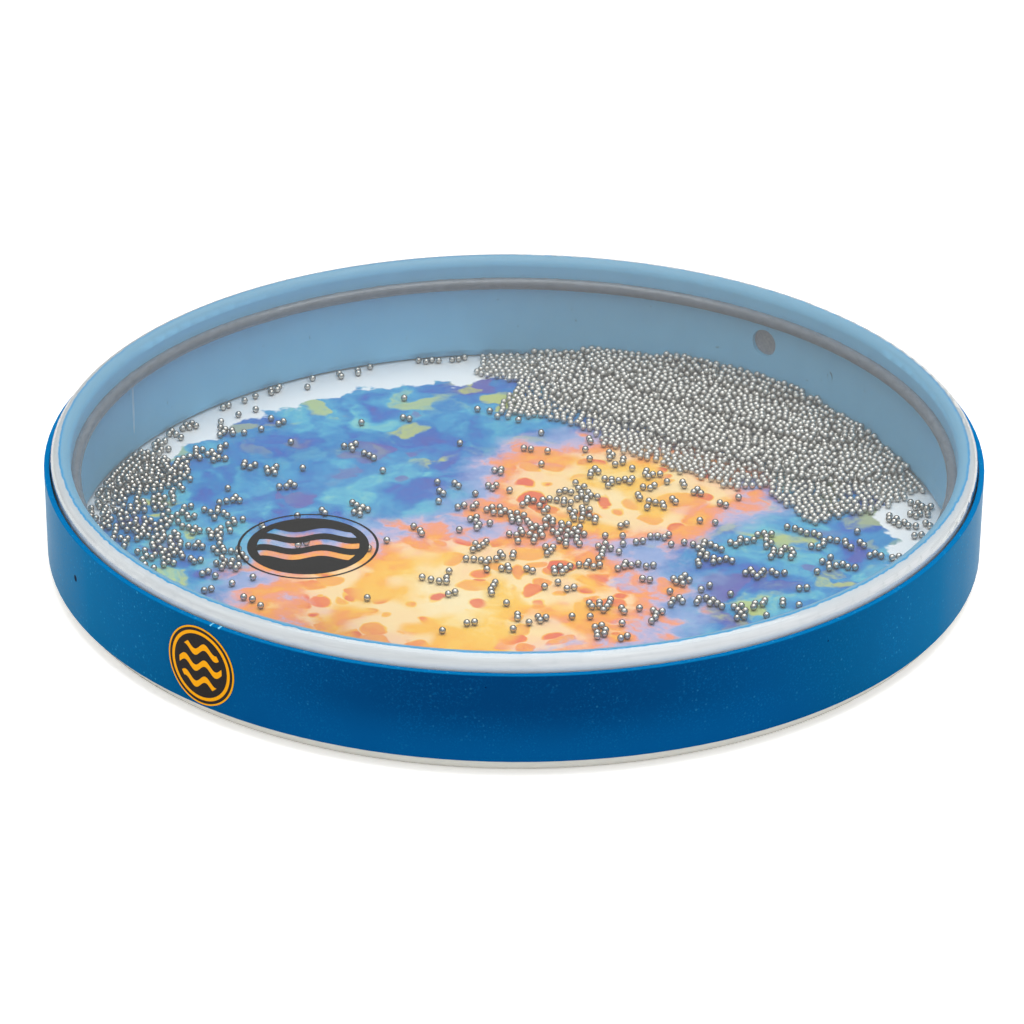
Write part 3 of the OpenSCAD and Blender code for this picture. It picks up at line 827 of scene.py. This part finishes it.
def left_centres():
    """Balls of the dressed shot on the left: the solid ones shaken out of their rows, with a few more
    on top where they are crowded."""
    dice = np.random.default_rng(8)
    loose = ball_centres(LOOSE_NODES)[:, :2]
    plan = ball_centres(LEFT_NODES)[:, :2]
    plan = plan + dice.uniform(-0.6, 0.6, plan.shape) * SHOT_D
    plan = thinned(relaxed(plan, loose, 1.03 * SHOT_D, 60), loose, LEAST_GAP)
    low = np.column_stack([plan, rest_heights(plan, np.empty((0, 3)))])
    neighbours = (gaps_between(plan, plan) < 1.25 * SHOT_D).sum(1)
    crowded = plan[neighbours >= 5]
    upper = crowded[dice.choice(len(crowded), len(crowded) // 3, replace=False)]
    upper = thinned(upper + dice.uniform(-0.4, 0.4, upper.shape) * SHOT_D, np.empty((0, 2)), SHOT_D)
    return np.vstack([low, np.column_stack([upper, rest_heights(upper, low)])])


def add_left(material):
    left = shot_object("shot_left", left_centres(), material)
    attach(left, "left_shot")
    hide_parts(*LEFT_NODES)


def add_pile(material):
    pile = shot_object("shot_pile", pile_centres(), material)
    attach(pile, "pile_shot")
    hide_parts(*[name for layer in PILE_LAYERS for name in layer])


def lumps(turns, waves, seed):
    """A smooth random curve round the drum, about -1 to 1, summed from waves of the given counts."""
    dice = np.random.default_rng(seed)
    total = np.zeros_like(turns)
    for count in waves:
        total += np.sin(count * turns + dice.uniform(0, math.tau)) * dice.uniform(0.5, 1.0)
    return total / math.sqrt(len(waves))


def tube_faces(rings, steps):
    """The faces of a tube whose rings go round the drum, each in the same number of steps."""
    here = np.arange(steps)
    onward = (here + 1) % steps
    faces = []
    for ring in range(rings):
        low = ring * steps
        high = (ring + 1) % rings * steps
        faces += list(np.stack([low + here, low + onward, high + onward, high + here], 1))
    return faces


def seal_rings(turns):
    """The radius and height of each ring of the seal bead, at each turn: a root in the groove, and
    between its two edges a round face, whose upper edge wanders on the ring above it."""
    wander = lumps(turns, (19, 31, 47, 71, 113, 167, 239), 3)
    swelling = lumps(turns, (23, 37, 61, 97, 151, 211), 4)
    face_r = SEAL_ROUND - 0.12 * MM + 0.05 * MM * np.clip(swelling, -1.6, 1.6)
    centre_r = BORE_R - SEAL_PROUD + SEAL_ROUND
    centre_z = (GROOVE_LOW + GROOVE_TOP) / 2
    root_r = np.full(len(turns), BORE_R + 1.5 * MM)
    rings = [(root_r, np.full(len(turns), GROOVE_LOW + 0.1 * MM))]
    for degrees in range(-120, 121, 10):
        turn = math.radians(degrees)
        rise = 0.30 * MM * np.clip(wander, 0, 1.6) * max(0, (degrees - 50) / 70) ** 2
        rings.append((centre_r - face_r * math.cos(turn), centre_z + face_r * math.sin(turn) + rise))
    rings.append((root_r, np.full(len(turns), GROOVE_TOP - 0.1 * MM)))
    return np.array(rings)


def add_seal(material):
    """The bead of sealer that stands out round the top of the liner, a little lumpy."""
    steps = 1440
    turns = np.linspace(0, math.tau, steps, endpoint=False)
    rings = seal_rings(turns)
    radii, heights = rings[:, 0], rings[:, 1]
    vertices = np.stack([radii * np.cos(turns), radii * np.sin(turns), heights], -1).reshape(-1, 3)
    seal = mesh_object("seal_bead", vertices, tube_faces(len(rings), steps), material)
    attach(seal, "drum")
    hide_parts("seal_ring")


def add_seam_glue(material):
    """The line of glue in the butt joint of the liner."""
    half = 0.17 * MM
    inner = BORE_R + 0.02 * MM
    outer = BORE_R + LINER_T - 0.05 * MM
    low = LINER_LOW + 0.1 * MM
    high = GROOVE_LOW - 0.1 * MM
    turn = math.radians(SEAM_ANGLE)
    out = np.array([math.cos(turn), math.sin(turn)])
    aside = np.array([-math.sin(turn), math.cos(turn)])
    outline = [inner * out - half * aside, outer * out - half * aside,
               outer * out + half * aside, inner * out + half * aside]
    vertices = [(x, y, z) for z in (low, high) for x, y in outline]
    faces = [(3, 2, 1, 0), (4, 5, 6, 7), (0, 1, 5, 4), (1, 2, 6, 5), (2, 3, 7, 6), (3, 0, 4, 7)]
    glue = mesh_object("seam_glue", vertices, faces, material, smooth=False)
    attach(glue, "drum")


def annulus(inner, outer, steps):
    """A flat ring about the origin, as vertices in plan and faces."""
    turns = np.linspace(0, math.tau, steps, endpoint=False)
    circle = np.stack([np.cos(turns), np.sin(turns)], 1)
    here = np.arange(steps)
    onward = (here + 1) % steps
    faces = np.stack([here, onward, steps + onward, steps + here], 1)
    return np.vstack([circle * inner, circle * outer]), faces


def band(lower, upper, radius, steps):
    """A strip between two curves y(x), kept inside a circle about the origin."""
    xs = np.linspace(-radius, radius, steps)
    half = np.sqrt(np.clip(radius ** 2 - xs ** 2, 0, None))
    low = np.clip(lower(xs), -half, half)
    high = np.clip(upper(xs), -half, half)
    keep = high - low > 0.02 * MM
    here = np.nonzero(keep[:-1] & keep[1:])[0]
    faces = np.stack([here, here + 1, steps + here + 1, steps + here], 1)
    return np.vstack([np.stack([xs, low], 1), np.stack([xs, high], 1)]), faces


def mark_wave(share):
    """A wave y(x) across the mark, at a share of the disc's radius behind its centre."""
    return lambda x: share * MARK_R + 0.075 * MARK_R * np.sin(x / MARK_R * 6.5)


def add_mark(material):
    """The mark in the clear film: a thin ring round a black disc, which clear bands cross in waves."""
    height = DRUM_TOP - 0.2 * FILM_T
    shapes = [annulus(MARK_RING_IN, MARK_RING_OUT, 180), annulus(0.84 * MARK_R, MARK_R, 180)]
    for low, high in zip(BAND_SHARES[::2], BAND_SHARES[1::2]):
        shapes.append(band(mark_wave(low), mark_wave(high), 0.845 * MARK_R, 240))
    vertices = []
    faces = []
    first = 0
    for points, sides in shapes:
        vertices.append(np.column_stack([points + MARK_AT, np.full(len(points), height)]))
        faces.append(sides + first)
        first += len(points)
    mark = mesh_object("head_mark", np.vstack(vertices), np.vstack(faces), material, smooth=False)
    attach(mark, "drum")


def dress(node, material):
    """Gives a CAD node a material."""
    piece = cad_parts[node]
    if len(piece.material_slots) == 0:
        piece.data.materials.append(material)
    for slot in piece.material_slots:
        slot.material = material


def add_camera():
    down = math.radians(CAMERA_DOWN)
    roll = math.radians(CAMERA_ROLL)
    forward = Vector((0, math.cos(down), -math.sin(down)))
    up = Vector((0, math.sin(down), math.cos(down)))
    right = Vector((1, 0, 0))
    turned_right = right * math.cos(roll) + up * math.sin(roll)
    turned_up = up * math.cos(roll) - right * math.sin(roll)
    turning = Matrix((turned_right, turned_up, -forward)).transposed().to_4x4()
    data = bpy.data.cameras.new("camera")
    data.lens = FOCAL_MM
    data.sensor_width = SENSOR_MM
    data.clip_start = 0.05
    camera = bpy.data.objects.new("camera", data)
    camera.matrix_world = Matrix.Translation(CAMERA_AT) @ turning
    bpy.context.collection.objects.link(camera)
    bpy.context.scene.camera = camera


def add_softbox():
    """A square soft light that faces the drum."""
    data = bpy.data.lights.new("softbox", "AREA")
    data.shape = "SQUARE"
    data.size = SOFTBOX_SIZE
    data.energy = SOFTBOX_WATTS
    lamp = bpy.data.objects.new("softbox", data)
    lamp.location = SOFTBOX_AT
    lamp.rotation_euler = (-Vector(SOFTBOX_AT)).to_track_quat("-Z", "Y").to_euler()
    bpy.context.collection.objects.link(lamp)


def add_world():
    """A soft white studio, brighter on the camera's side than behind the drum."""
    world = bpy.data.worlds.new("studio")
    bpy.context.scene.world = world
    world.use_nodes = True
    nodes = world.node_tree.nodes
    links = world.node_tree.links
    back = nodes["Background"]
    place = nodes.new("ShaderNodeTexCoord")
    parts = nodes.new("ShaderNodeSeparateXYZ")
    links.new(place.outputs["Generated"], parts.inputs[0])
    ramp = nodes.new("ShaderNodeMapRange")
    ramp.interpolation_type = "SMOOTHSTEP"
    ramp.inputs["From Min"].default_value = -1
    ramp.inputs["From Max"].default_value = 1
    ramp.inputs["To Min"].default_value = WORLD_FRONT
    ramp.inputs["To Max"].default_value = WORLD_BACK
    links.new(parts.outputs[1], ramp.inputs["Value"])
    links.new(ramp.outputs["Result"], back.inputs["Strength"])
    back.inputs["Color"].default_value = (1, 1, 1, 1)


def add_floor(material):
    bpy.ops.mesh.primitive_plane_add(size=FLOOR_SIZE, location=(0, 0, -FLOOR_GAP))
    floor = bpy.context.object
    floor.name = "floor"
    floor.data.materials.append(material)


add_camera()
# The same steel twice: the loose and left shot with strong painted rim shade, and the pile's lit copy,
# painted lighter with less rim shade, as painted light among the crowded balls. The pile's copy is also
# rougher.
steel = steel_look("steel_look", paint(190, 186, 179), paint(220, 216, 207), 0.82, 0.24)
lit_pile_steel = steel_look("lit_pile_steel_look", paint(204, 201, 194), paint(226, 223, 216), 0.34, 0.42)
ring_coat = ring_paint()
fibre = fibre_look()
dress("outer_hoop", hoop_paint())
dress("hoop_tape", tape_look())
dress("hoop_label", label_look())
dress("upper_bearing_ring", ring_coat)
dress("lower_bearing_ring", ring_coat)
dress("shell_core", fibre)
dress("fill_hole_plug", fibre)
dress("inner_liner", liner_paint())
dress("top_head", clear_film())
dress("bottom_head", print_look())
for node in LOOSE_NODES:
    dress(node, steel)
add_seal(seal_bead_look())
add_seam_glue(glue_look())
add_pile(lit_pile_steel)
add_left(steel)
add_mark(ink_look())
add_floor(floor_look())
add_world()
add_softbox()

bpy.context.scene.view_settings.view_transform = "Standard"
